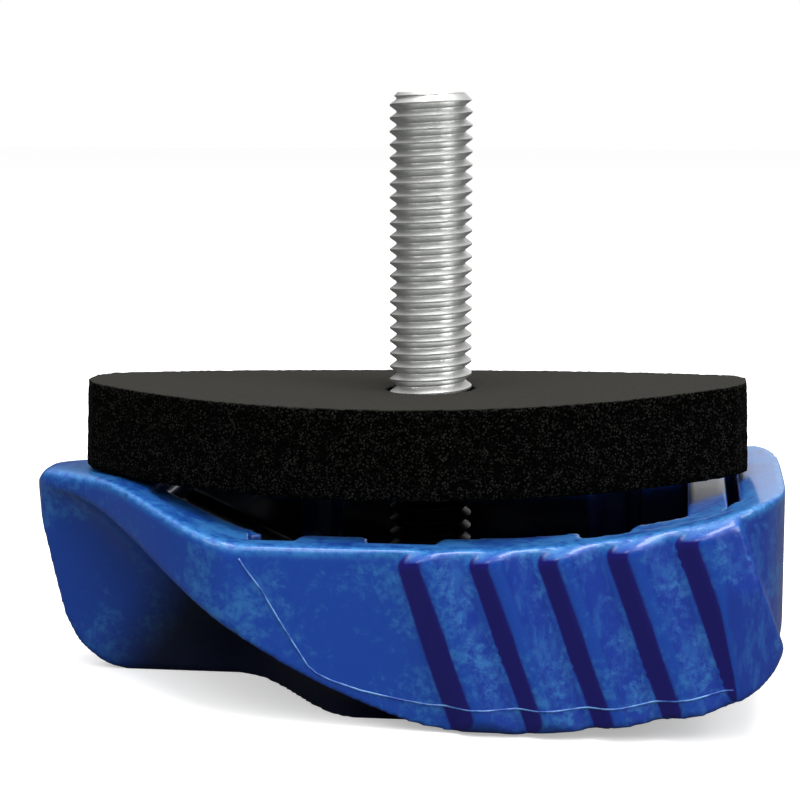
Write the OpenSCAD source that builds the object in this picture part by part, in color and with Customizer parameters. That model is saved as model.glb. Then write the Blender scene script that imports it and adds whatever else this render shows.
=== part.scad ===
/* [Moulding outline] */
// How far the raised tip reaches left of the stud axis
tip_reach = 39.2; // [30:0.1:45]
// How far the full end reaches right of the stud axis
end_reach = 33.8; // [30:0.1:42]
// Half of the moulding's width between its two ribbed walls
half_w = 19.2; // [16:0.1:24]
// Where the right end starts to round off
end_round_x = 20; // [14:0.5:26]
// Length over which the left end tapers to its tip
tip_taper = 24; // [16:0.5:28]
// Half width of the nose at the very tip
nose_w = 3.2; // [2:0.1:5]

/* [Seat] */
// Height of the seat rim at the middle of the walls
rim_low = 16.7; // [14:0.1:22]
// How much higher the rim stands at the tip
tip_rise = 3.6; // [0:0.1:6]
// How much higher the rim stands at the full end
end_rise = 4.6; // [0:0.1:6]
// Width of the seat land along the two long walls
land_w = 2.9; // [2:0.1:4]
// Width of the seat land across the right end
end_land_w = 4.3; // [3:0.1:8]
// How far the ledge under the pad reaches in from the wall
ledge_w = 8; // [5:0.1:10]
// How far the ledge lies below the rim
ledge_drop = 0.5; // [0.2:0.1:1.5]
// Thickness of the floor of the hollow
floor_t = 8; // [7.4:0.1:9]
// Radius of the boss round the bolt
boss_r = 8; // [6:0.5:10]
// Height of the boss and of the web along the middle of the hollow
boss_top = 11.5; // [9:0.5:14]

/* [Finger scoops] */
// Height of the fold above the scoop at the tip
fold_high = 19.2; // [16:0.1:20]
// Height of the fold where it meets the ribbed wall's foot
fold_low = 1.6; // [1:0.1:3]
// Length over which the fold runs down from the tip
fold_run = 42; // [30:0.5:48]
// Half thickness of the keel left between the scoops
keel_half = 1.5; // [1.2:0.1:4]
// Thickness left between a scoop and the hollow above it
scoop_wall = 2.6; // [2:0.1:4]

/* [Grip ribs] */
// Ribs on each wall
rib_count = 5; // [3:1:5]
// Distance from one rib to the next
rib_pitch = 6.1; // [5:0.05:8]
// Steep face of the first rib at the rim
rib_start = 0.6; // [-3:0.1:4]
// Width of the steep face of a rib
rib_face = 2; // [0.8:0.1:2.4]
// Width of the flat crest of a rib
rib_crest = 1.3; // [0.8:0.1:2.5]
// How far a rib stands out from the wall under the rim
rib_top_out = 1.1; // [0.5:0.1:2]
// How far a rib stands out from the wall at its foot
rib_out = 1.6; // [1:0.1:3]
// Slant of the ribs
rib_slant = 20; // [0:0.5:25]
// How far the feet of the ribs are rounded off
foot_round = 2.2; // [1:0.1:3]

/* [Bolt] */
// Outside diameter of the thread above the pad
thread_d = 7.9; // [6:0.1:10]
// Length of the bolt under its head
bolt_len = 50; // [40:1:60]
// Width of the hex head across its flats
head_af = 13; // [10:0.5:17]
// Height of the hex head
head_h = 5.3; // [4:0.1:7]
// Height of the head's underside above the foot
head_z = 1.7; // [1.2:0.1:2]

/* [Foam pad] */
// Length of the pad
pad_len = 64; // [50:0.5:70]
// Width of the pad at its middle
pad_w = 29; // [20:0.5:36]
// Thickness of the pad
pad_t = 8.5; // [5:0.1:12]
// Sag of the pad between its ends
pad_sag = 1.0; // [0.5:0.1:3]
// Shift of the pad's outline from its hole
pad_shift = -1.7; // [-3:0.1:2]
// Gap between the pad's ends and the seat
pad_gap = 0.3; // [0.2:0.05:0.6]

/* [Hidden] */
$fn = 96;
eps = 0.01;

body_len = tip_reach + end_reach;
tip_high = rim_low + tip_rise;
end_high = rim_low + end_rise;
rim_high = max(tip_high, end_high);
bolt_top = head_z + head_h + bolt_len;
thread_r = thread_d / 2;
// The stretch held by the moulding and the pad is as thin as a rolled thread's plain shank
shank_r = thread_r - 0.35;
tip_chamfer = 0.9;
rib_root = 4;
// Where the shank leaves the cover that closes the head in
shank_z = head_z + 1;
hole_play = 0.3;

// The hollow: its left end, its cross bar and the web along its middle
hollow_left = -14;
hollow_tip = -25;
hollow_tip_w = 4.5;
groove_w = 1;
groove_x = end_reach - end_land_w - groove_w;
bar_w = 3.7;
web_w = 2.8;
// Left and right edge of each pocket through the ledges, and how much it widens inwards
pockets_x = [[-14.7, -11.8], [-3.5, 1.3], [16.1, 18.9]];
pocket_flare = 1.1;

// The pad lies on both ends of the rim, so it leans with them
pad_tilt = atan((end_high - tip_high) / pad_len);
// Heights of the pad's underside at its ends and of the stud's free stretch
pad_end_z = (tip_high + end_high) / 2 + pad_gap;
free_z = pad_end_z + pad_t + 0.7;

// Smooth step from 0 to 1
function step01(t) = let (c = min(max(t, 0), 1)) c * c * (3 - 2 * c);

// Height of the seat rim at x
function rim_z(x) = rim_low + (x < 0
    ? tip_rise * step01((-x - 13.7) / 17.6)
    : end_rise * min(pow(x / (end_reach - 2), 2.2), 1));

// Half width of the moulding at x, left of the rounded end
function side_w(x) = let (u = min(max((x + tip_reach) / nose_w, 0), 1))
    nose_w * sqrt(1 - pow(1 - u, 2))
    + (half_w - nose_w) * step01((x + tip_reach) / tip_taper);

// Height of the fold above the scoop at x
function fold_z(x) = fold_low * (1 - step01((x + 6) / 14)) - 0.1
    + (fold_high - fold_low) * (1 - step01((x + tip_reach + 0.3) / fold_run));

// Half thickness of the keel under the fold at x
function keel_w(x) = keel_half + 14 * step01((x + 19) / 14);

// Outline of the moulding seen from above, upper half from the tip to the end
function half_outline() = concat(
    [for (i = [0:7]) let (x = -tip_reach + nose_w * (1 - cos(i * 12.5))) [x, side_w(x)]],
    [for (i = [1:12]) let (x = -tip_reach + nose_w + (tip_taper - nose_w) * i / 12)
        [x, side_w(x)]],
    [for (i = [0:10]) let (a = 90 - 9 * i)
        [end_round_x + (end_reach - end_round_x) * sqrt(cos(a)), half_w * sqrt(sin(a))]]
);

module outline() {
    half = half_outline();
    polygon(concat(half, [for (i = [len(half) - 2:-1:1]) [half[i][0], -half[i][1]]]));
}

// Side view of the moulding: dished rim, raised tip, keel and rounded right foot
module side_view() {
    tip = -tip_reach;
    keel = [[tip + 8.6, 0], [tip + 7, 0.4], [tip + 5.1, 1.7], [tip + 3.7, 3.2],
        [tip + 2.8, 5], [tip + 2.2, 7.5], [tip + 1, 12.9], [tip + 0.2, 16.6],
        [tip, 18.4], [tip + 0.2, 19.3], [tip + 0.7, 19.9]];
    rim = [for (i = [0:26]) let (x = -tip_reach + 1.4 + (body_len - 1.4) * i / 26)
        [x, rim_z(x)]];
    foot = [[end_reach, 9.5], [end_reach - 0.5, 7.4], [end_reach - 1.6, 5.8],
        [end_reach - 3.6, 4.3], [end_reach - 7, 2.9], [end_reach - 13, 1.7],
        [end_reach - 19, 0.8], [end_reach - 24, 0.2], [6, 0]];
    polygon(concat(keel, rim, foot));
}

module side_slab() {
    rotate([90, 0, 0])
        linear_extrude(4 * half_w, center = true) side_view();
}

// One sawtooth rib on the wall at y = -half_w: a steep face, a flat crest and a long back
module rib(x) {
    lean = atan((rib_out - rib_top_out) / rim_low);
    back_end = rib_pitch - rib_face / 2 - 0.2;
    translate([x, -half_w, rim_z(x) - 0.6])
        rotate([-lean, 0, 0])
            rotate([0, -rib_slant, 0])
                translate([0, 0, -rim_high - 4])
                    linear_extrude(rim_high + 4)
                        polygon([[-rib_face / 2, rib_root], [-rib_face / 2, 0],
                            [rib_face / 2, -rib_top_out], [rib_face / 2 + rib_crest, -rib_top_out],
                            [back_end, 0], [back_end, rib_root]]);
}

// Cross section that rounds off the feet of the ribs
module cross_slab() {
    out = half_w + rib_out + 0.3;
    side = [[out - foot_round - 0.3, 0], [out - foot_round / 2, foot_round / 4],
        [out - 0.3, foot_round], [out, 3 * rim_high]];
    rotate([90, 0, 90]) linear_extrude(4 * body_len, center = true)
        polygon(concat(side, [for (i = [len(side) - 1:-1:0]) [-side[i][0], side[i][1]]]));
}

// Section of a scoop at x: a hollow quarter ellipse from the keel up to the fold
function scoop_section(x) = let (
        edge = side_w(min(x, end_round_x)) + 0.4,
        inner = min(keel_w(x), edge - 0.8),
        top = max(fold_z(x), 0.3))
    concat(
        [[x, -inner, -3]],
        [for (j = [0:9]) let (a = 10 * j)
            [x, -(edge - (edge - inner) * cos(a)), top * sin(a)]],
        [[x, -half_w - 6, top + 0.5], [x, -half_w - 6, -3]]);

// Scoop under the tip on the wall at y = -half_w
module scoop() {
    stations = [for (i = [0:22]) -tip_reach - 2 + (tip_reach + 8.5) * i / 22];
    n = 13;
    last = len(stations) - 1;
    points = [for (x = stations) each scoop_section(x)];
    sides = [for (i = [0:last - 1]) for (j = [0:n - 1]) let (k = (j + 1) % n)
        each [[i * n + j, (i + 1) * n + k, i * n + k],
            [i * n + j, (i + 1) * n + j, (i + 1) * n + k]]];
    ends = [[for (j = [0:n - 1]) j], [for (j = [n - 1:-1:0]) last * n + j]];
    polyhedron(points, concat(sides, ends));
}

// Space above the floor of the hollow, whose floor climbs over the scoops
module above_floor() {
    left = [for (i = [0:4]) let (x = -27 + 4 * i) [x, max(fold_z(x) + scoop_wall, floor_t)]];
    rotate([90, 0, 0]) linear_extrude(4 * half_w, center = true)
        polygon(concat(left, [[-6, floor_t], [50, floor_t], [50, 60], [-27, 60]]));
}

// Deep hollow between the ledges, with the boss round the bolt left standing
module hollow() {
    reach = half_w - ledge_w;
    bar_x = groove_x - bar_w;
    intersection() {
        above_floor();
        difference() {
            translate([0, 0, 1]) linear_extrude(3 * rim_high) {
                translate([hollow_left, -reach]) square([bar_x - hollow_left, 2 * reach]);
                polygon([[hollow_left, reach], [hollow_left, -reach],
                    [hollow_tip, -hollow_tip_w], [hollow_tip, hollow_tip_w]]);
            }
            cylinder(r = boss_r, h = boss_top);
            translate([-body_len, -web_w / 2, 0]) cube([2 * body_len, web_w, boss_top]);
        }
    }
}

// Pockets cut outward through the ledge, widening towards the hollow
module ledge_pocket(x0, x1) {
    wall_y = half_w - land_w;
    inner_y = half_w - ledge_w - eps;
    translate([0, 0, 1]) linear_extrude(3 * rim_high)
        polygon([[x0, wall_y], [x1, wall_y],
            [x1 + pocket_flare, inner_y], [x0 - pocket_flare, inner_y]]);
}

module pockets() {
    intersection() {
        above_floor();
        for (s = [1, -1]) scale([1, s, 1])
            for (edges = pockets_x) ledge_pocket(edges[0], edges[1]);
    }
}

// Narrow groove between the end land and the cross bar
module end_groove() {
    translate([groove_x, -12.4, floor_t]) cube([groove_w, 24.8, 2 * rim_high]);
}

// Recess that lowers the ledges below the rim
module ledge_recess() {
    intersection() {
        translate([0, 0, -ledge_drop]) difference() {
            translate([-60, -60, 5]) cube([120, 120, 60]);
            side_slab();
        }
        translate([0, 0, 5])
            linear_extrude(60)
                translate([-26, -(half_w - land_w)])
                    square([26 + groove_x, 2 * (half_w - land_w)]);
    }
}

module hex_head() {
    translate([0, 0, head_z])
        linear_extrude(head_h) circle(d = head_af / cos(30), $fn = 6);
}

module grip_body() color([0.02, 0.13, 0.62]) {
    difference() {
        intersection() {
            union() {
                linear_extrude(3 * rim_high) outline();
                intersection() {
                    for (s = [1, -1]) scale([1, s, 1])
                        for (i = [0:rib_count - 1]) rib(rib_start + i * rib_pitch);
                    scale([1 + rib_out / end_reach, 1 + rib_out / half_w, 1])
                        linear_extrude(3 * rim_high) outline();
                }
            }
            side_slab();
            cross_slab();
        }
        for (s = [1, -1]) scale([1, s, 1]) scoop();
        hollow();
        pockets();
        end_groove();
        ledge_recess();
        translate([0, 0, shank_z]) cylinder(r = shank_r, h = 3 * rim_high);
        hex_head();
    }
}

module clamp_bolt() color([0.75, 0.76, 0.78]) {
    hex_head();
    translate([0, 0, shank_z]) cylinder(r = shank_r, h = free_z - shank_z + eps);
    translate([0, 0, free_z])
        cylinder(r = thread_r, h = bolt_top - tip_chamfer - free_z);
    translate([0, 0, bolt_top - tip_chamfer])
        cylinder(r1 = thread_r, r2 = thread_r - tip_chamfer * 0.8, h = tip_chamfer);
}

module foam_pad() color([0.04, 0.04, 0.045]) {
    arc_r = pow(pad_len / 2, 2) / (2 * pad_sag);
    side_r = (pow(pad_len / 2, 2) + pow(pad_w / 2 - 3, 2)) / (2 * (pad_w / 2 - 3));
    difference() {
        intersection() {
            translate([0, 0, pad_end_z]) rotate([0, -pad_tilt, 0])
                translate([0, 0, arc_r - pad_sag]) rotate([90, 0, 0]) difference() {
                cylinder(r = arc_r, h = 2 * pad_w, center = true, $fn = 360);
                cylinder(r = arc_r - pad_t, h = 3 * pad_w, center = true, $fn = 360);
            }
            translate([pad_shift, 0, 0]) linear_extrude(2 * rim_high) intersection() {
                translate([0, side_r - pad_w / 2]) circle(r = side_r);
                translate([0, pad_w / 2 - side_r]) circle(r = side_r);
                square([pad_len, pad_w], center = true);
            }
        }
        cylinder(r = thread_r + hole_play, h = 3 * rim_high);
    }
}

grip_body();
clamp_bolt();
foam_pad();
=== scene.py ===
"""A ribbed clamp foot with a threaded stud and a loose foam pad.

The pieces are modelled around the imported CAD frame, and each rides one of its bodies.
"""
import math

import bpy
from mathutils import Euler, Matrix, Vector
from mathutils.bvhtree import BVHTree


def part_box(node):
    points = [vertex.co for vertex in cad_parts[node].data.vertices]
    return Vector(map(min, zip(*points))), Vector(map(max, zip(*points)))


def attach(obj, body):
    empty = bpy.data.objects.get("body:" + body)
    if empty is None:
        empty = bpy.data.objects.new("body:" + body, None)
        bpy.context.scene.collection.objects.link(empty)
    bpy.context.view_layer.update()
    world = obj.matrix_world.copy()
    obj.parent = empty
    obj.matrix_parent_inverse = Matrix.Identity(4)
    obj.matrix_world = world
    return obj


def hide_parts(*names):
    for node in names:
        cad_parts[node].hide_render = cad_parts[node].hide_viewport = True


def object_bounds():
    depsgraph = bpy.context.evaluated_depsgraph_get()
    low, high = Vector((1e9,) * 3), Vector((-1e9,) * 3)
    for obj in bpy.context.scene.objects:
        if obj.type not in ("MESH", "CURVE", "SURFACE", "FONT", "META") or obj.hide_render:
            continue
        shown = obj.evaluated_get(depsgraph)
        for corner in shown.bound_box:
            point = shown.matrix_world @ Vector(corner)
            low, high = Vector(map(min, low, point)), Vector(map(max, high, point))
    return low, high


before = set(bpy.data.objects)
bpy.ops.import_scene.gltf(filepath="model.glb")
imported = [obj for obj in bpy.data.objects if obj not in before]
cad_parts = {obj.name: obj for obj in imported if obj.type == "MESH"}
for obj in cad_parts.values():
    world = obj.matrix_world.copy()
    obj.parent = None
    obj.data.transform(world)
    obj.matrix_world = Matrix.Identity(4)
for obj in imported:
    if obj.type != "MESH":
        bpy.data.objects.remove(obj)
CAD_LOW, CAD_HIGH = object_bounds()
GRIP_LOW, GRIP_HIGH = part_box("grip_body")
BOLT_LOW, BOLT_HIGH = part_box("clamp_bolt")
PAD_LOW, PAD_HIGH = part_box("foam_pad")

bl_info = {
    "name": "Padded clamp foot",
    "version": (1, 0, 0),
    "blender": (4, 5, 0),
    "location": "View3D > Sidebar > Clamp foot",
    "description": "Builds the moulded grip, the threaded stud, the foam pad and the stage",
    "category": "Object",
}

MM = 0.001

# Fixed sizes of the moulding, in metres
NOSE = 3.2 * MM  # rounding of the tip, seen from above
TAPER = 24 * MM  # length over which the tip widens to the full width
END_ROUND = 20 * MM  # where the full end starts to round off
FOLD_LOW, FOLD_HIGH = 1.6 * MM, 19.2 * MM  # the fold at the wall's foot and at the tip
FOLD_RUN = 42 * MM  # length over which the fold falls
LAND = 2.9 * MM  # width of the rim
LEDGE = 8 * MM  # from the wall to the hollow
LEDGE_DROP = 0.5 * MM  # from the rim to the ledges
HOLLOW_LEFT, HOLLOW_TIP = -14 * MM, -25 * MM  # where the hollow narrows and where it ends
HOLLOW_TIP_HALF = 4.5 * MM  # half width of the hollow at its narrow end
BOSS_TOP = 11.5 * MM  # height of the boss and of the middle web
WEB_HALF = 1.4 * MM  # half thickness of the middle web
GROOVE_INSET, GROOVE_WIDTH, GROOVE_HALF = 5.3 * MM, MM, 12.4 * MM
POCKETS = ((-14.7, -11.8), (-3.5, 1.3), (16.1, 18.9))  # ends of the pockets, in millimetres
POCKET_FLARE = 1.1 * MM  # how much a pocket widens towards the hollow
RIB_START = 0.3 * MM  # steep face of the first rib, at the rim
RIB_FACE, RIB_CREST, RIB_ROOT = 1.9 * MM, 1.3 * MM, 4 * MM
RIB_BELOW_RIM = 1.2 * MM  # from the rim down to the shoulder of a rib
FOOT_ROUND = 2.2 * MM  # radius of the ribs' rounded feet
RIM_BAND = 1.5 * MM  # width of the rolled edge
WIDE, TALL = 40 * MM, 60 * MM  # past every side of the moulding, for cutting tools
THREAD_FLAT = 0.08 * MM  # half width of a thread's crest


# ---------------------------------------------------------------- sizes and colours

class GripSizes(bpy.types.PropertyGroup):
    """Sizes of the moulding, in its own frame."""

    tip_reach: bpy.props.FloatProperty(
        name="Tip reach", description="Distance from the stud's axis to the raised tip",
        default=-GRIP_LOW[0], unit="LENGTH")
    end_reach: bpy.props.FloatProperty(
        name="End reach", description="Distance from the stud's axis to the full end",
        default=GRIP_HIGH[0], unit="LENGTH")
    half_width: bpy.props.FloatProperty(
        name="Half width", description="Half of the width between the two walls",
        default=19.2 * MM, unit="LENGTH")
    rim_low: bpy.props.FloatProperty(
        name="Low rim", description="Height of the rim at the middle of the walls",
        default=GRIP_HIGH[2] - 4.6 * MM, unit="LENGTH")
    tip_rise: bpy.props.FloatProperty(
        name="Tip rise", description="How much higher the rim stands at the tip",
        default=3.6 * MM, unit="LENGTH")
    end_rise: bpy.props.FloatProperty(
        name="End rise", description="How much higher the rim stands at the full end",
        default=4.6 * MM, unit="LENGTH")
    floor: bpy.props.FloatProperty(
        name="Floor", description="Height of the hollow's floor", default=8 * MM, unit="LENGTH")
    boss_radius: bpy.props.FloatProperty(
        name="Boss radius", description="Radius of the boss round the bolt",
        default=8 * MM, unit="LENGTH")
    rib_pitch: bpy.props.FloatProperty(
        name="Rib pitch", description="Distance from one rib to the next",
        default=6.1 * MM, unit="LENGTH")
    rib_top: bpy.props.FloatProperty(
        name="Rib height at the rim", description="How far a rib stands out under the rim",
        default=1.1 * MM, unit="LENGTH")
    rib_foot: bpy.props.FloatProperty(
        name="Rib height at the foot", description="How far a rib stands out at its foot",
        default=1.6 * MM, unit="LENGTH")
    rib_count: bpy.props.IntProperty(
        name="Ribs", description="Ribs on each wall", default=5, min=1, max=8)
    rib_slant: bpy.props.FloatProperty(
        name="Rib slant", description="Lean of the ribs towards the full end",
        default=math.radians(20), subtype="ANGLE")
    grain: bpy.props.FloatProperty(
        name="Skin grain", description="Size of the cells that blend the moulding's surfaces",
        default=0.32 * MM, unit="LENGTH")


class BoltSizes(bpy.types.PropertyGroup):
    """Sizes of the bolt."""

    radius: bpy.props.FloatProperty(
        name="Thread radius", description="Outside radius of the thread",
        default=3.95 * MM, unit="LENGTH")
    root: bpy.props.FloatProperty(
        name="Root radius", description="Radius at the root of the thread",
        default=3.3 * MM, unit="LENGTH")
    pitch: bpy.props.FloatProperty(
        name="Pitch", description="Rise of the thread in one turn",
        default=1.25 * MM, unit="LENGTH")
    head: bpy.props.FloatProperty(
        name="Head", description="Height of the hexagonal head", default=5.3 * MM, unit="LENGTH")
    top: bpy.props.FloatProperty(
        name="Top", description="Height of the stud's end above the foot",
        default=BOLT_HIGH[2], unit="LENGTH")


class PadSizes(bpy.types.PropertyGroup):
    """Sizes of the foam pad."""

    thickness: bpy.props.FloatProperty(
        name="Thickness", description="Thickness of the foam", default=8.5 * MM, unit="LENGTH")
    sag: bpy.props.FloatProperty(
        name="Sag", description="How far the middle hangs below the ends",
        default=1.0 * MM, unit="LENGTH")
    tilt: bpy.props.FloatProperty(
        name="Tilt", description="Lean of the pad towards the tip",
        default=math.atan(1.0 / 64), subtype="ANGLE")
    base: bpy.props.FloatProperty(
        name="Base", description="Height of the pad's underside halfway between its ends",
        default=21.1 * MM, unit="LENGTH")
    hole: bpy.props.FloatProperty(
        name="Hole", description="Radius of the hole for the stud",
        default=4.2 * MM, unit="LENGTH")


class Finishes(bpy.types.PropertyGroup):
    """Colours of the materials."""

    plastic: bpy.props.FloatVectorProperty(
        name="Plastic", description="Blue of the moulding", subtype="COLOR", size=4,
        default=(0.006, 0.056, 0.36, 1.0))
    # painted shade: this violet blue stands in for shade on rib faces turned away from the light,
    # and in part on faces sloping towards the full end
    painted_shade: bpy.props.FloatVectorProperty(
        name="Deep plastic", description="Violet blue of the moulding's unworn, shaded faces",
        subtype="COLOR", size=4, default=(0.006, 0.004, 0.16, 1.0))
    scuff: bpy.props.FloatVectorProperty(
        name="Scuffs", description="Pale blue of the rubbed and frosted places",
        subtype="COLOR", size=4, default=(0.04, 0.23, 0.52, 1.0))
    steel: bpy.props.FloatVectorProperty(
        name="Zinc", description="Colour of the zinc plating", subtype="COLOR", size=4,
        default=(0.80, 0.81, 0.79, 1.0))
    foam: bpy.props.FloatVectorProperty(
        name="Foam", description="Black of the foam", subtype="COLOR", size=4,
        default=(0.0009, 0.0009, 0.0008, 1.0))
    floor: bpy.props.FloatVectorProperty(
        name="Floor", description="Pale floor", subtype="COLOR", size=4,
        default=(0.92, 0.92, 0.92, 1.0))


def grip_sizes():
    return bpy.context.scene.clamp_grip


def bolt_sizes():
    return bpy.context.scene.clamp_bolt


def pad_sizes():
    return bpy.context.scene.clamp_pad


def finishes():
    return bpy.context.scene.clamp_finishes


# ---------------------------------------------------------------- small helpers

def deselect():
    if bpy.context.object and bpy.context.object.mode != "OBJECT":
        bpy.ops.object.mode_set(mode="OBJECT")
    bpy.ops.object.select_all(action="DESELECT")


def activate(piece):
    deselect()
    piece.select_set(True)
    bpy.context.view_layer.objects.active = piece


def apply_modifiers(piece):
    activate(piece)
    for modifier in list(piece.modifiers):
        bpy.ops.object.modifier_apply(modifier=modifier.name)


def place(piece, matrix):
    """Moves the piece and applies the move, so that its object stays at the origin."""
    activate(piece)
    piece.matrix_world = matrix @ piece.matrix_world
    bpy.ops.object.transform_apply(location=True, rotation=True, scale=True)
    return piece


def faces_out(piece):
    """Turns every face outwards."""
    activate(piece)
    bpy.ops.object.mode_set(mode="EDIT")
    bpy.ops.mesh.select_all(action="SELECT")
    bpy.ops.mesh.normals_make_consistent(inside=False)
    bpy.ops.object.mode_set(mode="OBJECT")


def prism(name, points, push):
    """A closed solid: an outline of 3D points, extruded along the vector push."""
    deselect()
    bpy.ops.mesh.primitive_circle_add(vertices=len(points), radius=MM, fill_type="NGON")
    piece = bpy.context.object
    piece.name = name
    for vertex, point in zip(piece.data.vertices, points):
        vertex.co = point
    bpy.ops.object.mode_set(mode="EDIT")
    bpy.ops.mesh.select_all(action="SELECT")
    bpy.ops.mesh.extrude_region_move(TRANSFORM_OT_translate={"value": push})
    bpy.ops.object.mode_set(mode="OBJECT")
    faces_out(piece)
    return piece


def upright(name, outline, low, high):
    """A prism that stands on a flat outline, from height low to height high."""
    return prism(name, [(x, y, low) for x, y in outline], (0, 0, high - low))


def box_piece(name, low, high):
    """A box between two corners."""
    return upright(name, [(low[0], low[1]), (high[0], low[1]), (high[0], high[1]),
                          (low[0], high[1])], low[2], high[2])


def closed(mesh):
    """Tells whether every edge of the mesh is shared by two faces, or by four."""
    uses = {}
    for face in mesh.polygons:
        for key in face.edge_keys:
            uses[key] = uses.get(key, 0) + 1
    return bool(uses) and all(count % 2 == 0 for count in uses.values())


def combine(piece, tool, operation):
    """Joins, cuts or crosses the piece with the tool, and removes the tool.

    A result with open edges is thrown away, and the tool is moved a hair before the next try.
    """
    before = piece.data.copy()
    for attempt in range(6):
        boolean = piece.modifiers.new("Combine", "BOOLEAN")
        boolean.operation = operation
        boolean.solver = "EXACT"
        boolean.object = tool
        apply_modifiers(piece)
        if closed(piece.data):
            break
        broken = piece.data
        piece.data = before.copy()
        bpy.data.meshes.remove(broken)
        for vertex in tool.data.vertices:
            vertex.co += Vector((0.0013, 0.0009, 0.0011)) * MM * (attempt + 1)
        tool.data.update()
        bpy.context.view_layer.update()
    else:
        raise RuntimeError(piece.name + " could not be combined with " + tool.name)
    bpy.data.meshes.remove(before)
    mesh = tool.data
    bpy.data.objects.remove(tool)
    bpy.data.meshes.remove(mesh)
    return piece


def mirrored(tool):
    """A copy of the tool on the other side of the middle plane."""
    other = tool.copy()
    other.data = tool.data.copy()
    bpy.context.collection.objects.link(other)
    place(other, Matrix.Scale(-1, 4, (0, 1, 0)))
    faces_out(other)
    return other


def combine_both(piece, tool, operation):
    """Combines the piece with the tool and with the tool's mirror image."""
    other = mirrored(tool)
    combine(piece, tool, operation)
    return combine(piece, other, operation)


def smooth_all(piece):
    activate(piece)
    bpy.ops.object.shade_smooth()


def give(piece, material, body, slot, *nodes):
    """Finishes a piece: its material, its body and the CAD nodes it stands for. The slot is not
    used.
    """
    if len(piece.data.polygons) < 50:
        raise RuntimeError(piece.name + " could not be finished")
    piece.data.materials.clear()
    piece.data.materials.append(material)
    if nodes:
        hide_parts(*nodes)
    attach(piece, body)
    return piece


# ---------------------------------------------------------------- node helpers

def new_material(name):
    material = bpy.data.materials.new(name)
    material.use_nodes = True
    nodes = material.node_tree.nodes
    return material, nodes, material.node_tree.links, nodes["Principled BSDF"]


def noise(nodes, links, coords, scale, detail=3.0, rough=0.55, distortion=0.0):
    node = nodes.new("ShaderNodeTexNoise")
    node.inputs["Scale"].default_value = scale
    node.inputs["Detail"].default_value = detail
    node.inputs["Roughness"].default_value = rough
    node.inputs["Distortion"].default_value = distortion
    links.new(coords, node.inputs["Vector"])
    return node.outputs["Fac"]


def ramp(nodes, links, value, low, high, start=0.0, stop=1.0):
    """Maps a value between two levels onto start and stop, clamped."""
    node = nodes.new("ShaderNodeMapRange")
    node.inputs["From Min"].default_value = low
    node.inputs["From Max"].default_value = high
    node.inputs["To Min"].default_value = start
    node.inputs["To Max"].default_value = stop
    links.new(value, node.inputs["Value"])
    return node.outputs["Result"]


def math_node(nodes, links, operation, first, second=None):
    node = nodes.new("ShaderNodeMath")
    node.operation = operation
    for socket, value in zip(node.inputs, (first, second)):
        if value is None:
            continue
        if isinstance(value, (int, float)):
            socket.default_value = value
        else:
            links.new(value, socket)
    return node.outputs[0]


def mix_colour(nodes, links, factor, first, second):
    node = nodes.new("ShaderNodeMix")
    node.data_type = "RGBA"
    links.new(factor, node.inputs["Factor"])
    for socket, value in ((node.inputs["A"], first), (node.inputs["B"], second)):
        if isinstance(value, bpy.types.NodeSocket):
            links.new(value, socket)
        else:
            socket.default_value = value
    return node.outputs["Result"]


def bump(nodes, links, height, strength, distance, normal=None):
    node = nodes.new("ShaderNodeBump")
    node.inputs["Strength"].default_value = strength
    node.inputs["Distance"].default_value = distance
    links.new(height, node.inputs["Height"])
    if normal is not None:
        links.new(normal, node.inputs["Normal"])
    return node.outputs["Normal"]


# ---------------------------------------------------------------- the moulding's shape

def step01(t):
    """Smooth step from 0 to 1."""
    t = min(max(t, 0.0), 1.0)
    return t * t * (3 - 2 * t)


def rim_height(x):
    """Height of the dished rim at x."""
    size = grip_sizes()
    if x < 0:
        return size.rim_low + size.tip_rise * step01((-x / MM - 13.7) / 17.6)
    return size.rim_low + size.end_rise * min((x / (size.end_reach - 2 * MM)) ** 2.2, 1.0)


def side_width(x):
    """Half width of the moulding at x, left of its rounded end."""
    size = grip_sizes()
    along = x + size.tip_reach
    round_part = min(max(along / NOSE, 0.0), 1.0)
    return (NOSE * math.sqrt(1 - (1 - round_part) ** 2)
            + (size.half_width - NOSE) * step01(along / TAPER))


def fold_height(x):
    """Height of the fold above the finger scoop at x."""
    along = x + grip_sizes().tip_reach + 0.3 * MM
    return (FOLD_LOW * (1 - step01((x + 6 * MM) / (14 * MM))) - 0.1 * MM
            + (FOLD_HIGH - FOLD_LOW) * (1 - step01(along / FOLD_RUN)))


def keel_width(x):
    """Half thickness of the keel under the fold at x."""
    return (1.5 + 14 * step01((x / MM + 19) / 14)) * MM


def grip_outline(shrink=0.0):
    """Outline of the moulding seen from above, anticlockwise, moved in by shrink."""
    size = grip_sizes()
    half = []
    for i in range(12):
        x = -size.tip_reach + NOSE * (1 - math.cos(math.radians(90 * i / 12)))
        half.append((x, side_width(x)))
    for i in range(31):
        x = -size.tip_reach + NOSE + (TAPER - NOSE) * i / 30
        half.append((x, side_width(x)))
    for i in range(31):
        angle = math.radians(90 - 3 * i)
        half.append((END_ROUND
                     + (size.end_reach - END_ROUND) * math.sqrt(max(math.cos(angle), 0)),
                     size.half_width * math.sqrt(max(math.sin(angle), 0))))
    lower = [(x, -y) for x, y in half[1:-1]]
    full = [half[0]] + lower + half[:0:-1]
    if not shrink:
        return full
    moved = []
    for i, point in enumerate(full):
        ahead = Vector(full[(i + 1) % len(full)]) - Vector(full[i - 1])
        inward = Vector((-ahead.y, ahead.x)).normalized()
        moved.append(tuple(Vector(point) + inward * shrink))
    return moved


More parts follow.
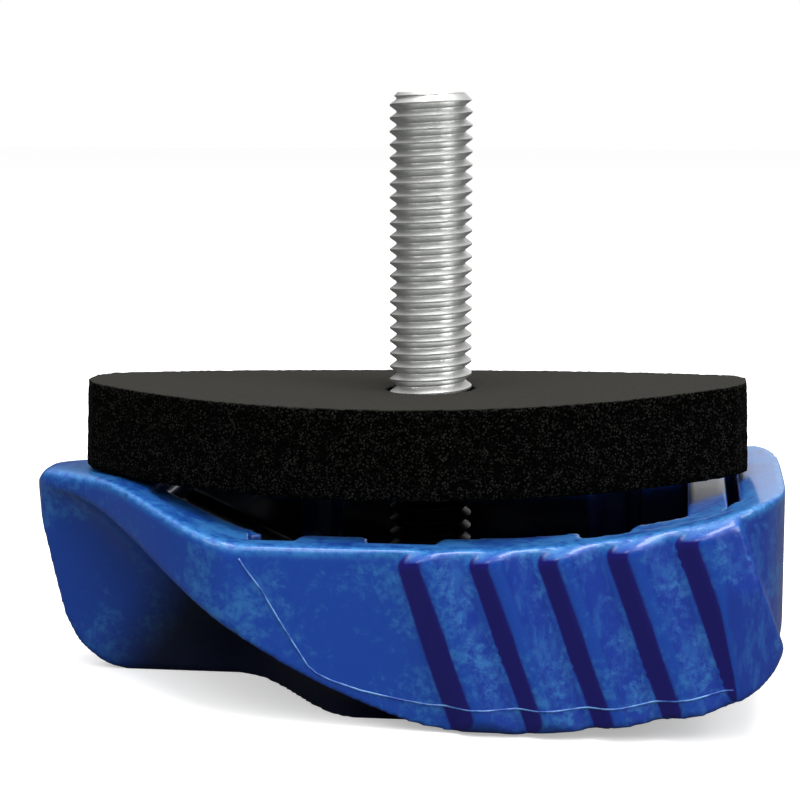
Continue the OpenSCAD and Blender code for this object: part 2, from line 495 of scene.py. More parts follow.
def grip_side_view():
    """Side view of the moulding: keel, raised tip, dished rim, rounded right foot."""
    size = grip_sizes()
    tip, end = -size.tip_reach, size.end_reach
    keel = [(8.6, 0), (7, 0.4), (6, 0.95), (5.1, 1.7), (4.3, 2.4), (3.7, 3.2), (2.8, 5),
            (2.2, 7.5), (1.55, 10.3), (1, 12.9), (0.5, 15), (0.2, 16.7), (0, 18.4),
            (0.2, 19.3), (0.7, 19.9)]
    points = [(tip + x * MM, z * MM) for x, z in keel]
    length = end - tip - 1.4 * MM
    for i in range(53):
        x = tip + 1.4 * MM + length * i / 52
        points.append((x, rim_height(x)))
    foot = [(0, 9.5), (-0.15, 8.4), (-0.5, 7.4), (-1, 6.5), (-1.6, 5.8), (-2.5, 5), (-3.6, 4.3),
            (-5.2, 3.55), (-7, 2.9), (-10, 2.3), (-13, 1.7), (-16, 1.2), (-19, 0.8), (-24, 0.2)]
    points += [(end + x * MM, z * MM) for x, z in foot]
    points.append((6 * MM, 0))
    return points


def scoop_cutter():
    """The finger scoop in front of the keel: a skin of hollow arcs, extruded outwards."""
    size = grip_sizes()
    stations, arcs = 56, 18
    deselect()
    bpy.ops.mesh.primitive_grid_add(x_subdivisions=stations, y_subdivisions=arcs, size=MM)
    piece = bpy.context.object
    piece.name = "scoop_cutter"
    start, stop = -size.tip_reach - 2 * MM, 9 * MM
    columns, rows = stations + 1, arcs + 1
    for index, vertex in enumerate(piece.data.vertices):
        column, row = index % columns, index // columns
        x = start + (stop - start) * column / stations
        edge = side_width(min(x, END_ROUND)) + 0.4 * MM
        inner = min(keel_width(x), edge - 0.8 * MM)
        top = max(fold_height(x), 0.3 * MM)
        if row == 0:
            vertex.co = (x, -inner, -3 * MM)
            continue
        angle = math.radians(90 * (row - 1) / (arcs - 1))
        vertex.co = (x, -(edge - (edge - inner) * math.cos(angle)), top * math.sin(angle))
    bpy.ops.object.mode_set(mode="EDIT")
    bpy.ops.mesh.select_all(action="SELECT")
    bpy.ops.mesh.extrude_region_move(TRANSFORM_OT_translate={"value": (0, -45 * MM, 0)})
    bpy.ops.object.mode_set(mode="OBJECT")
    faces_out(piece)
    return piece


def rib_piece(x):
    """A sawtooth rib: a steep face, a flat crest, a long back and a rounded upper end."""
    size = grip_sizes()
    length, out, face = size.rim_low + 9 * MM, size.rib_top, RIB_FACE / 2
    back_end = size.rib_pitch - face - 0.2 * MM
    section = [(-face, RIB_ROOT), (-face, 0), (face - 0.15 * MM, -out * 0.95),
               (face + 0.2 * MM, -out), (face + RIB_CREST, -out), (back_end, 0),
               (back_end, RIB_ROOT)]
    piece = upright("rib", section, 0, length)
    select_top(piece, length)
    bpy.ops.mesh.extrude_region_move(TRANSFORM_OT_translate={"value": (0, 0, 0.3 * MM)})
    bpy.ops.transform.translate(value=(0, 0.35 * MM, 0))
    bpy.ops.mesh.extrude_region_move(TRANSFORM_OT_translate={"value": (0, 0, 0.2 * MM)})
    bpy.ops.transform.translate(value=(0, 0.8 * MM, 0))
    bpy.ops.object.mode_set(mode="OBJECT")
    lean = math.atan((size.rib_foot - size.rib_top) / size.rim_low)
    move = (Matrix.Translation((x, -size.half_width, rim_height(x) - RIB_BELOW_RIM))
            @ Matrix.Rotation(-lean, 4, "X")
            @ Matrix.Rotation(-size.rib_slant, 4, "Y")
            @ Matrix.Translation((0, 0, -length)))
    return place(piece, move)


def cross_slab():
    """A cross section that rounds off the feet of the ribs."""
    size = grip_sizes()
    out = size.half_width + size.rib_foot
    side = [(out - FOOT_ROUND, 0)]
    for i in range(1, 7):
        angle = math.radians(15 * i)
        side.append((out - FOOT_ROUND * (1 - math.sin(angle)),
                     FOOT_ROUND * (1 - math.cos(angle))))
    side.append((out + 0.3 * MM, TALL))
    outline = side + [(-y, z) for y, z in reversed(side)]
    return prism("cross_slab", [(-2 * WIDE, y, z) for y, z in outline], (4 * WIDE, 0, 0))


def floor_slab():
    """Everything above the hollow's floor, which climbs over the scoops."""
    floor = grip_sizes().floor
    profile = []
    for i in range(13):
        x = (-27 + 1.75 * i) * MM
        profile.append((x, max(fold_height(x) + 2.6 * MM, floor)))
    profile += [(-5 * MM, floor), (50 * MM, floor), (50 * MM, TALL), (-27 * MM, TALL)]
    return prism("floor_slab", [(x, -WIDE, z) for x, z in profile], (0, 2 * WIDE, 0))


def hollow_cutter():
    """The deep hollow between the ledges, with the boss and the middle web left out of it."""
    size = grip_sizes()
    reach = size.half_width - LEDGE
    bar = size.end_reach - 9 * MM
    outline = [(HOLLOW_TIP, -HOLLOW_TIP_HALF), (HOLLOW_LEFT, -reach), (bar, -reach),
               (bar, reach), (HOLLOW_LEFT, reach), (HOLLOW_TIP, HOLLOW_TIP_HALF)]
    piece = upright("hollow_cutter", outline, MM, TALL)
    deselect()
    bpy.ops.mesh.primitive_cylinder_add(vertices=96, radius=size.boss_radius, depth=2 * BOSS_TOP)
    combine(piece, bpy.context.object, "DIFFERENCE")
    web = box_piece("web", (-30 * MM, -WEB_HALF, -MM), (30 * MM, WEB_HALF, BOSS_TOP))
    combine(piece, web, "DIFFERENCE")
    return combine(piece, floor_slab(), "INTERSECT")


def pocket_cutter(left, right):
    """A pocket through the ledge that widens towards the hollow."""
    size = grip_sizes()
    wall, inner = size.half_width - LAND, size.half_width - LEDGE - 0.1 * MM
    outline = [(left, -wall), (right, -wall), (right + POCKET_FLARE, -inner),
               (left - POCKET_FLARE, -inner)]
    piece = upright("pocket_cutter", outline, MM, TALL)
    return combine(piece, floor_slab(), "INTERSECT")


def ledge_cutter():
    """The shallow recess that sets the ledges below the rim."""
    size = grip_sizes()
    wall, groove = size.half_width - LAND, size.end_reach - GROOVE_INSET
    left = HOLLOW_TIP - MM
    profile = []
    for i in range(40):
        x = left + (groove - left) * i / 39
        profile.append((x, rim_height(x) - LEDGE_DROP))
    profile += [(groove, TALL), (left, TALL)]
    piece = prism("ledge_cutter", [(x, -wall, z) for x, z in profile], (0, 2 * wall, 0))
    return combine(piece, upright("inner_line", grip_outline(LAND), 0, TALL), "INTERSECT")


def build_grip():
    """The whole moulding: its outline with ribs, cut to its side view, then hollowed."""
    size = grip_sizes()
    grip = upright("moulded_grip", grip_outline(), 0, WIDE)
    slab = prism("slab", [(x, -WIDE, z) for x, z in grip_side_view()], (0, 2 * WIDE, 0))
    along, across = 1 + size.rib_foot / size.end_reach, 1 + size.rib_foot / size.half_width
    around = [(x * along, y * across) for x, y in grip_outline()]
    for i in range(size.rib_count):
        rib = rib_piece(RIB_START + i * size.rib_pitch)
        combine(rib, upright("around", around, -20 * MM, WIDE), "INTERSECT")
        combine_both(grip, rib, "UNION")
    combine(grip, slab, "INTERSECT")
    combine(grip, cross_slab(), "INTERSECT")
    combine_both(grip, scoop_cutter(), "DIFFERENCE")
    combine(grip, ledge_cutter(), "DIFFERENCE")
    combine(grip, hollow_cutter(), "DIFFERENCE")
    for left, right in POCKETS:
        combine_both(grip, pocket_cutter(left * MM, right * MM), "DIFFERENCE")
    groove = size.end_reach - GROOVE_INSET
    combine(grip, box_piece("groove", (groove, -GROOVE_HALF, size.floor),
                            (groove + GROOVE_WIDTH, GROOVE_HALF, TALL)), "DIFFERENCE")
    blend_skin(grip)
    reach = [max(v.co[axis] for v in grip.data.vertices) - GRIP_HIGH[axis] for axis in range(3)]
    if max(abs(gap) for gap in reach) > 0.5 * MM:
        raise RuntimeError("The moulding does not fill its CAD box")
    return grip


def blend_skin(piece):
    """Gives the moulding one skin with small radii on its edges and a larger one on its rim."""
    remesh = piece.modifiers.new("Skin", "REMESH")
    remesh.mode = "VOXEL"
    remesh.voxel_size = grip_sizes().grain
    apply_modifiers(piece)
    rim = piece.vertex_groups.new(name="rim")
    for vertex in piece.data.vertices:
        if (vertex.co.z > rim_height(vertex.co.x) - 0.8 * RIM_BAND
                and rim_distance(vertex.co) < RIM_BAND):
            weight = 1.0 - 0.85 * step01((vertex.co.x + 8 * MM) / (8 * MM))
            rim.add([vertex.index], weight, "REPLACE")
    roll = piece.modifiers.new("Rolled_rim", "SMOOTH")
    roll.factor, roll.iterations, roll.vertex_group = 0.5, 26, "rim"
    soften = piece.modifiers.new("Soften", "SMOOTH")
    soften.factor, soften.iterations = 0.5, 3
    thin = piece.modifiers.new("Thin", "DECIMATE")
    thin.ratio = 0.62
    apply_modifiers(piece)
    piece.vertex_groups.clear()
    mark_shade(piece)
    smooth_all(piece)


def mark_shade(piece):
    """Stores the painted shade of each point, strongest low in a scoop or in the hollow, and how
    worn the rim is there.
    """
    shade = piece.data.attributes.new("shade", "FLOAT", "POINT")
    wear = piece.data.attributes.new("wear", "FLOAT", "POINT")
    for vertex in piece.data.vertices:
        x, y, z = vertex.co
        inside, below = rim_distance(vertex.co), rim_height(x) - z
        painted_shade = 0.0
        if inside > 2.6 * MM and z > 6.8 * MM and z > fold_height(x) + 1.4 * MM:
            painted_shade = step01((below - 0.8 * MM) / (0.9 * MM))
        elif x < 9 * MM and inside > 0.9 * MM and z < fold_height(x) + 0.4 * MM:
            painted_shade = step01((0.8 * x - 0.6 * z + 29.5 * MM) / (7.5 * MM))
        shade.data[vertex.index].value = painted_shade
        edge = step01((1.1 * MM - abs(inside - 0.25 * MM)) / (0.8 * MM))
        wear.data[vertex.index].value = edge * step01((1.3 * MM - below) / (0.9 * MM))


def rim_distance(point):
    """Distance inwards from the moulding's outline."""
    size = grip_sizes()
    if point.x < END_ROUND:
        return side_width(point.x) - abs(point.y)
    span = size.end_reach - END_ROUND
    part = (((point.x - END_ROUND) / span) ** 4 + (abs(point.y) / size.half_width) ** 4) ** 0.25
    return (1 - part) * min(span, size.half_width)


def flash_path():
    """The parting line on one wall as (x, z): down beside the scoop, then along the feet.

    The knots are in millimetres, the path in metres.
    """
    knots = [(-15.1, 15.5), (-14.6, 14.7), (-13.1, 12.7), (-11, 9.2), (-8.85, 5.8), (-8, 5.1),
             (-6.65, 4.5), (-4, 3.7), (-0.5, 3.0), (2.1, 2.6), (6, 2.6), (12.5, 2.75),
             (19, 3.25), (25.3, 4.3), (29.4, 5.2)]
    path = []
    for (x0, z0), (x1, z1) in zip(knots, knots[1:]):
        steps = max(int(math.hypot(x1 - x0, z1 - z0) / 0.3), 1)
        for i in range(steps):
            part = i / steps
            path.append(((x0 + (x1 - x0) * part) * MM, (z0 + (z1 - z0) * part) * MM))
    return path


def build_flash(grip):
    """The thin ridge of the parting line, laid on the wall of the moulding."""
    path = flash_path()
    rows = (-0.1, 0.0, 0.1)
    wall = BVHTree.FromPolygons([v.co for v in grip.data.vertices],
                                [tuple(f.vertices) for f in grip.data.polygons])
    deselect()
    bpy.ops.mesh.primitive_grid_add(x_subdivisions=len(path) - 1, y_subdivisions=2, size=MM)
    flash = bpy.context.object
    flash.name = "parting_line"
    for index, vertex in enumerate(flash.data.vertices):
        column, row = index % len(path), index // len(path)
        x, z = path[column]
        ahead = Vector(path[min(column + 1, len(path) - 1)]) - Vector(path[max(column - 1, 0)])
        across = Vector((-ahead.y, ahead.x)).normalized() * rows[row] * MM
        start = Vector((x + across.x, -22 * MM, z + across.y))
        hit = wall.ray_cast(start, Vector((0, 1, 0)))[0]
        if hit is None or hit.y > -12 * MM:
            hit = wall.find_nearest(start)[0]
        raised = 0.09 if row == 1 else -0.02
        vertex.co = (hit.x, hit.y - raised * MM, hit.z)
    bpy.ops.object.mode_set(mode="EDIT")
    bpy.ops.mesh.select_all(action="SELECT")
    bpy.ops.mesh.extrude_region_move(TRANSFORM_OT_translate={"value": (0, 0.15 * MM, 0)})
    bpy.ops.object.mode_set(mode="OBJECT")
    faces_out(flash)
    other = mirrored(flash)
    deselect()
    other.select_set(True)
    flash.select_set(True)
    bpy.context.view_layer.objects.active = flash
    bpy.ops.object.join()
    smooth_all(flash)
    return flash


# ---------------------------------------------------------------- the bolt's shape

def build_bolt():
    """An M8 bolt: a real helical thread, trimmed to a chamfered end with a shallow cup."""
    size = bolt_sizes()
    low = BOLT_LOW[2] + size.head
    deselect()
    bpy.ops.mesh.primitive_circle_add(vertices=8, radius=MM)
    bolt = bpy.context.object
    bolt.name = "zinc_bolt"
    half = size.pitch / 2
    profile = [(size.root, 0), (size.root + 0.05 * MM, 0.1 * MM),
               (size.radius - 0.04 * MM, half - THREAD_FLAT - 0.03 * MM),
               (size.radius, half - THREAD_FLAT), (size.radius, half + THREAD_FLAT),
               (size.radius - 0.04 * MM, half + THREAD_FLAT + 0.03 * MM),
               (size.root + 0.05 * MM, size.pitch - 0.1 * MM), (size.root, size.pitch)]
    for vertex, (radius, height) in zip(bolt.data.vertices, profile):
        vertex.co = (radius, 0, low - size.pitch + height)
    open_profile(bolt)
    turns = bolt.modifiers.new("Turns", "SCREW")
    turns.screw_offset = size.pitch
    turns.iterations = int((size.top - low) / size.pitch) + 3
    turns.steps = turns.render_steps = 48
    turns.use_merge_vertices = True
    turns.merge_threshold = 0.002 * MM
    apply_modifiers(bolt)
    trim_thread(bolt, low - 0.2 * MM, size.top + 0.3 * MM)
    deselect()
    bpy.ops.mesh.primitive_cylinder_add(vertices=96, radius=size.radius + 0.2 * MM,
                                        depth=size.top - low,
                                        location=(0, 0, (size.top + low) / 2))
    shaft = bpy.context.object
    bpy.ops.object.transform_apply(location=True, rotation=False, scale=False)
    cup_end(shaft, size.top)
    combine(bolt, shaft, "INTERSECT")
    combine(bolt, hex_head(low), "UNION")
    activate(bolt)
    bpy.ops.object.shade_smooth_by_angle(angle=math.radians(32))
    return bolt


def open_profile(piece):
    """Opens the ring of profile points between its last point and its first."""
    activate(piece)
    bpy.ops.object.mode_set(mode="EDIT")
    bpy.ops.mesh.select_mode(type="EDGE")
    bpy.ops.mesh.select_all(action="DESELECT")
    bpy.ops.object.mode_set(mode="OBJECT")
    last = len(piece.data.vertices) - 1
    for edge in piece.data.edges:
        edge.select = set(edge.vertices) == {0, last}
    bpy.ops.object.mode_set(mode="EDIT")
    bpy.ops.mesh.delete(type="EDGE")
    bpy.ops.object.mode_set(mode="OBJECT")


def trim_thread(piece, low, high):
    """Cuts the thread off square at both ends and closes it."""
    activate(piece)
    bpy.ops.object.mode_set(mode="EDIT")
    for height, above in ((low, False), (high, True)):
        bpy.ops.mesh.select_all(action="SELECT")
        bpy.ops.mesh.bisect(plane_co=(0, 0, height), plane_no=(0, 0, 1), use_fill=True,
                            clear_inner=not above, clear_outer=above)
    bpy.ops.mesh.select_all(action="SELECT")
    bpy.ops.mesh.remove_doubles(threshold=0.001 * MM)
    bpy.ops.mesh.normals_make_consistent(inside=False)
    bpy.ops.object.mode_set(mode="OBJECT")


def select_top(piece, height):
    """Selects the faces at a height, and nothing else."""
    activate(piece)
    bpy.ops.object.mode_set(mode="EDIT")
    bpy.ops.mesh.select_mode(type="FACE")
    bpy.ops.mesh.select_all(action="DESELECT")
    bpy.ops.object.mode_set(mode="OBJECT")
    for face in piece.data.polygons:
        face.select = all(abs(piece.data.vertices[v].co.z - height) < 1e-6
                          for v in face.vertices)
    bpy.ops.object.mode_set(mode="EDIT")


def cup_end(shaft, top):
    """Chamfers the shaft's end and presses a shallow cup into it."""
    select_top(shaft, top)
    bpy.ops.mesh.extrude_region_move(TRANSFORM_OT_translate={"value": (0, 0, 0)})
    bpy.ops.transform.resize(value=(0.77, 0.77, 1))
    bpy.ops.object.mode_set(mode="OBJECT")
    for vertex in shaft.data.vertices:
        if vertex.co.z > top - 1e-6 and vertex.co.xy.length > 0.9 * bolt_sizes().radius:
            vertex.co.z = top - 0.95 * MM
    select_top(shaft, top)
    bpy.ops.mesh.inset(thickness=0.35 * MM)
    bpy.ops.transform.translate(value=(0, 0, -0.12 * MM))
    bpy.ops.mesh.inset(thickness=1.3 * MM)
    bpy.ops.transform.translate(value=(0, 0, -0.3 * MM))
    bpy.ops.object.mode_set(mode="OBJECT")


def hex_head(top):
    """The head that the foot holds: a hexagon with rounded-off corners."""
    deselect()
    radius = 6.5 * MM / math.cos(math.radians(30))
    bpy.ops.mesh.primitive_cylinder_add(vertices=6, radius=radius, depth=bolt_sizes().head,
                                        location=(0, 0, top - bolt_sizes().head / 2),
                                        rotation=(0, 0, math.radians(30)))
    head = bpy.context.object
    bpy.ops.object.transform_apply(location=True, rotation=True, scale=False)
    edge = head.modifiers.new("Edge", "BEVEL")
    edge.width, edge.segments = 0.3 * MM, 2
    apply_modifiers(head)
    return head


# ---------------------------------------------------------------- the pad's shape

def pad_outline():
    """Outline of the pad seen from above: two long arcs between blunt, rounded ends."""
    middle = (PAD_LOW[0] + PAD_HIGH[0]) / 2
    half_len = (PAD_HIGH[0] - PAD_LOW[0]) / 2
    half_w = (PAD_HIGH[1] - PAD_LOW[1]) / 2
    end_w, corner = 3 * MM, 1.2 * MM
    radius = (half_len ** 2 + (half_w - end_w) ** 2) / (2 * (half_w - end_w))
    side = []
    steps = 60
    for i in range(steps + 1):
        x = -half_len + 2 * half_len * i / steps
        y = math.sqrt(radius ** 2 - x ** 2) - (radius - half_w)
        gap = half_len - abs(x)
        if gap < corner:
            y -= corner - math.sqrt(corner ** 2 - (corner - gap) ** 2)
        side.append((middle + x, y))
    return [(x, -y) for x, y in side] + [(x, y) for x, y in reversed(side)]


def build_pad():
    size = pad_sizes()
    pad = upright("foam_cushion", pad_outline(), 0, size.thickness)
    deselect()
    bpy.ops.mesh.primitive_cylinder_add(vertices=64, radius=size.hole, depth=60 * MM)
    combine(pad, bpy.context.object, "DIFFERENCE")
    skin = pad.modifiers.new("Skin", "REMESH")
    skin.mode = "VOXEL"
    skin.voxel_size = 0.34 * MM
    soften = pad.modifiers.new("Soften", "SMOOTH")
    soften.factor, soften.iterations = 0.5, 1
    apply_modifiers(pad)
    middle = (PAD_LOW[0] + PAD_HIGH[0]) / 2
    half_len = (PAD_HIGH[0] - PAD_LOW[0]) / 2
    for vertex in pad.data.vertices:
        along = vertex.co.x / half_len
        lean = (vertex.co.z - size.thickness / 2) * 2 * size.sag * along / half_len
        vertex.co.x -= lean * 0.5
        vertex.co.z += (size.base - size.sag * (1 - along ** 2)
                        + vertex.co.x * math.tan(size.tilt))
    grain = bpy.data.textures.new("foam_cells", "CLOUDS")
    grain.noise_scale = 0.5 * MM
    grain.noise_depth = 2
    cells = pad.modifiers.new("Cells", "DISPLACE")
    cells.texture = grain
    cells.texture_coords = "LOCAL"
    cells.strength = 0.16 * MM
    cells.mid_level = 0.5
    apply_modifiers(pad)
    smooth_all(pad)
    return pad


# ---------------------------------------------------------------- materials

def attribute(nodes, name):
    """Reads a value that is stored on the mesh."""
    node = nodes.new("ShaderNodeAttribute")
    node.attribute_name = name
    return node.outputs["Fac"]


def plastic_material():
    """Semi-gloss blue moulded plastic with frosted, mottled patches, fine scuffs and painted
    shade.
    """
    material, nodes, links, shader = new_material("blue_moulded_plastic")
    coords = nodes.new("ShaderNodeTexCoord")
    place_at = coords.outputs["Object"]
    split = nodes.new("ShaderNodeSeparateXYZ")
    links.new(coords.outputs["Normal"], split.inputs[0])
    where = nodes.new("ShaderNodeSeparateXYZ")
    links.new(place_at, where.inputs[0])
    upward = ramp(nodes, links, split.outputs["Z"], 0.55, 0.95, 0.0, 0.13)
    cloud = noise(nodes, links, place_at, 110, 4, 0.6, 0.4)
    speck = noise(nodes, links, place_at, 1100, 6, 0.75)
    broken = math_node(nodes, links, "MULTIPLY", cloud, speck)
    lifted = math_node(nodes, links, "ADD", broken,
                       math_node(nodes, links, "MULTIPLY", upward, 0.6))
    frosted = ramp(nodes, links, lifted, 0.25, 0.37, 0.0, 0.5)
    # painted shade: the steep faces of the ribs that turn away from the light are laid in the
    # violet blue, and carry no frosting
    upright_part = ramp(nodes, links, split.outputs["Z"], 0.5, 0.25)
    riser_shade = math_node(nodes, links, "MULTIPLY",
                      ramp(nodes, links, split.outputs["X"], -0.13, -0.26),
                      ramp(nodes, links, where.outputs["X"], -4 * MM, -2 * MM))
    riser_shade = math_node(nodes, links, "MULTIPLY", riser_shade, upright_part)
    # painted shade: faces that slope towards the full end take part of the violet blue
    leaning_shade = math_node(nodes, links, "MULTIPLY", upright_part,
                        ramp(nodes, links, split.outputs["X"], 0.06, 0.2, 0.0, 0.4))
    body = mix_colour(nodes, links, leaning_shade, finishes().plastic, finishes().painted_shade)
    # painted shade: flat upward faces are darkened towards navy to hold back the top light on
    # them
    level = ramp(nodes, links, split.outputs["Z"], 0.8, 0.97, 0.0, 0.55)
    body = mix_colour(nodes, links, level, body, (0.002, 0.024, 0.15, 1.0))
    body = mix_colour(nodes, links, riser_shade, body, finishes().painted_shade)
    # the long backs of the ribs are frosted in streaks
    streak = nodes.new("ShaderNodeMapping")
    streak.inputs["Scale"].default_value = (1.0, 1.0, 0.35)
    links.new(place_at, streak.inputs["Vector"])
    streaks = noise(nodes, links, streak.outputs["Vector"], 800, 5, 0.7)
    back = math_node(nodes, links, "MULTIPLY",
                     ramp(nodes, links, split.outputs["X"], 0.08, 0.24),
                     ramp(nodes, links, streaks, 0.5, 0.64, 0.0, 0.25))
    frosted = math_node(nodes, links, "MAXIMUM", frosted, back)
    rubbed = math_node(nodes, links, "MULTIPLY", attribute(nodes, "wear"),
                       ramp(nodes, links, speck, 0.38, 0.6, 0.15, 0.8))
    frosted = math_node(nodes, links, "MAXIMUM", frosted, rubbed)
    plain = math_node(nodes, links, "SUBTRACT", 1.0, riser_shade)
    frosted = math_node(nodes, links, "MULTIPLY", frosted, plain)
    colour = mix_colour(nodes, links, frosted, body, finishes().scuff)
    # painted shade: the scoops and the hollow are darkened where shadow falls in them
    hollow_shade = math_node(nodes, links, "MULTIPLY", attribute(nodes, "shade"), 0.95)
    colour = mix_colour(nodes, links, hollow_shade, colour, (0.0005, 0.0015, 0.008, 1.0))
    links.new(colour, shader.inputs["Base Color"])
    links.new(ramp(nodes, links, lifted, 0.2, 0.45, 0.3, 0.46), shader.inputs["Roughness"])
    shader.inputs["IOR"].default_value = 1.45
    shader.inputs["Coat Weight"].default_value = 0.5
    shader.inputs["Coat Roughness"].default_value = 0.14
    fine = noise(nodes, links, place_at, 2200, 3, 0.6)
    wavy = noise(nodes, links, place_at, 240, 2, 0.5)
    first = bump(nodes, links, fine, 0.12, 0.02 * MM)
    links.new(bump(nodes, links, wavy, 0.2, 0.06 * MM, first), shader.inputs["Normal"])
    return material


def flash_material():
    """The parting line's rubbed, pale blue edge."""
    material, nodes, links, shader = new_material("rubbed_parting_line")
    coords = nodes.new("ShaderNodeTexCoord")
    worn = ramp(nodes, links, noise(nodes, links, coords.outputs["Object"], 420, 4, 0.65),
                0.42, 0.6)
    rubbed = (0.12, 0.30, 0.62, 1.0)
    links.new(mix_colour(nodes, links, worn, finishes().plastic, rubbed),
              shader.inputs["Base Color"])
    shader.inputs["Roughness"].default_value = 0.4
    fine = noise(nodes, links, coords.outputs["Object"], 2500, 2, 0.6)
    links.new(bump(nodes, links, fine, 0.3, 0.02 * MM), shader.inputs["Normal"])
    return material


def zinc_material():
    """Satin zinc plating, greyer and duller in blotches, with painted shadow making it nearly
    black low down.
    """
    material, nodes, links, shader = new_material("zinc_plated_steel")
    coords = nodes.new("ShaderNodeTexCoord")
    place_at = coords.outputs["Object"]
    blotch = noise(nodes, links, place_at, 500, 4, 0.6)
    dull = ramp(nodes, links, blotch, 0.35, 0.7, 0.0, 0.6)
    dark = [c * 0.6 for c in finishes().steel[:3]] + [1.0]
    plated = mix_colour(nodes, links, dull, finishes().steel, dark)
    # painted shadow: nearly black low down, where the foam and the moulding shade it
    where = nodes.new("ShaderNodeSeparateXYZ")
    links.new(place_at, where.inputs[0])
    clear_of_shadow = ramp(nodes, links, where.outputs["Z"], 21.5 * MM, 25 * MM)
    links.new(mix_colour(nodes, links, clear_of_shadow, (0.02, 0.02, 0.022, 1.0), plated),
              shader.inputs["Base Color"])
    shader.inputs["Metallic"].default_value = 1.0
    links.new(ramp(nodes, links, blotch, 0.3, 0.7, 0.32, 0.5), shader.inputs["Roughness"])
    fine = noise(nodes, links, place_at, 3000, 3, 0.6)
    links.new(bump(nodes, links, fine, 0.25, 0.02 * MM), shader.inputs["Normal"])
    return material


def foam_material():
    """Matte black closed-cell foam with fine pale specks, and painted light on its upward faces.
    """
    material, nodes, links, shader = new_material("black_closed_cell_foam")
    coords = nodes.new("ShaderNodeTexCoord")
    place_at = coords.outputs["Object"]
    cells = nodes.new("ShaderNodeTexVoronoi")
    cells.inputs["Scale"].default_value = 4200
    links.new(place_at, cells.inputs["Vector"])
    thin = noise(nodes, links, place_at, 1300, 3, 0.6)
    speck = math_node(nodes, links, "MULTIPLY",
                      ramp(nodes, links, cells.outputs["Distance"], 0.5, 0.1),
                      ramp(nodes, links, thin, 0.36, 0.6))
    pale = (0.026, 0.027, 0.023, 1.0)
    split = nodes.new("ShaderNodeSeparateXYZ")
    links.new(coords.outputs["Normal"], split.inputs[0])
    # painted light: upward faces are lighter, standing in for the top light falling on them
    upward = ramp(nodes, links, split.outputs["Z"], 0.5, 0.9)
    lit_top = mix_colour(nodes, links, upward, finishes().foam, (0.03, 0.029, 0.026, 1.0))
    links.new(mix_colour(nodes, links, speck, lit_top, pale), shader.inputs["Base Color"])
    shader.inputs["Roughness"].default_value = 0.9
    shader.inputs["Specular IOR Level"].default_value = 0.0
    shader.inputs["Sheen Weight"].default_value = 0.008
    shader.inputs["Sheen Roughness"].default_value = 0.5
    first = bump(nodes, links, cells.outputs["Distance"], 0.5, 0.12 * MM)
    links.new(bump(nodes, links, thin, 0.4, 0.15 * MM, first), shader.inputs["Normal"])
    return material


def floor_material():
    """Pale floor, plain to the camera and dim to the light that it throws back."""
    material, nodes, links, shader = new_material("pale_floor")
    coords = nodes.new("ShaderNodeTexCoord")
    grain = noise(nodes, links, coords.outputs["Object"], 40, 2)
    near = [c * 0.99 for c in finishes().floor[:3]] + [1.0]
    pale = mix_colour(nodes, links, grain, finishes().floor, near)
    seen = nodes.new("ShaderNodeLightPath").outputs["Is Camera Ray"]
    links.new(mix_colour(nodes, links, seen, (0.05, 0.05, 0.05, 1), pale),
              shader.inputs["Base Color"])
    shader.inputs["Roughness"].default_value = 0.8
    shader.inputs["Emission Color"].default_value = (1, 1, 1, 1)
    links.new(math_node(nodes, links, "MULTIPLY", seen, 0.4), shader.inputs["Emission Strength"])
    return material


# ---------------------------------------------------------------- stage

def add_light(name, energy, size, location, target, colour=(1, 1, 1)):
    data = bpy.data.lights.new(name, "AREA")
    data.energy, data.size, data.color = energy, size, colour
    light = bpy.data.objects.new(name, data)
    bpy.context.collection.objects.link(light)
    light.location = location
    aim = Vector(target) - Vector(location)
    light.rotation_euler = aim.to_track_quat("-Z", "Y").to_euler()


def add_camera():
    data = bpy.data.cameras.new("camera")
    data.sensor_width = 36
    data.lens = 97.6
    data.clip_start, data.clip_end = 0.01, 20
    camera = bpy.data.objects.new("camera", data)
    bpy.context.collection.objects.link(camera)
    turn = Matrix.Rotation(math.radians(7.5), 4, "Z")
    camera.location = turn @ Vector((-2.97 * MM, -208 * MM, CAD_HIGH[2]))
    camera.rotation_euler = Euler((math.radians(90 - 8.08), 0, math.radians(7.5)))
    bpy.context.scene.camera = camera


def add_floor():
    deselect()
    bpy.ops.mesh.primitive_plane_add(size=4, location=(0, 0, 0))
    floor = bpy.context.object
    floor.name = "floor"
    floor.data.materials.append(floor_material())


def add_world():
    """A white surround: bright overhead, dimmer round the horizon, plain white to the camera."""
    world = bpy.data.worlds.new("studio")
    bpy.context.scene.world = world
    world.use_nodes = True
    nodes, links = world.node_tree.nodes, world.node_tree.links
    background = nodes["Background"]
    background.inputs["Color"].default_value = (1, 1, 1, 1)
    coords = nodes.new("ShaderNodeTexCoord")
    split = nodes.new("ShaderNodeSeparateXYZ")
    links.new(coords.outputs["Generated"], split.inputs[0])
    glow = ramp(nodes, links, split.outputs["Z"], 0.12, 0.8, 0.03, 0.85)
    seen = nodes.new("ShaderNodeLightPath")
    both = math_node(nodes, links, "MAXIMUM", glow, seen.outputs["Is Camera Ray"])
    links.new(both, background.inputs["Strength"])


# ---------------------------------------------------------------- operators

class OBJECT_OT_clamp_grip(bpy.types.Operator):
    """Build the blue moulding with its ribs, scoops, ledges and hollow"""

    bl_idname = "object.clamp_grip"
    bl_label = "Moulded grip"

    def execute(self, context):
        give(build_grip(), plastic_material(), "grip", "blue_plastic", "grip_body")
        return {"FINISHED"}


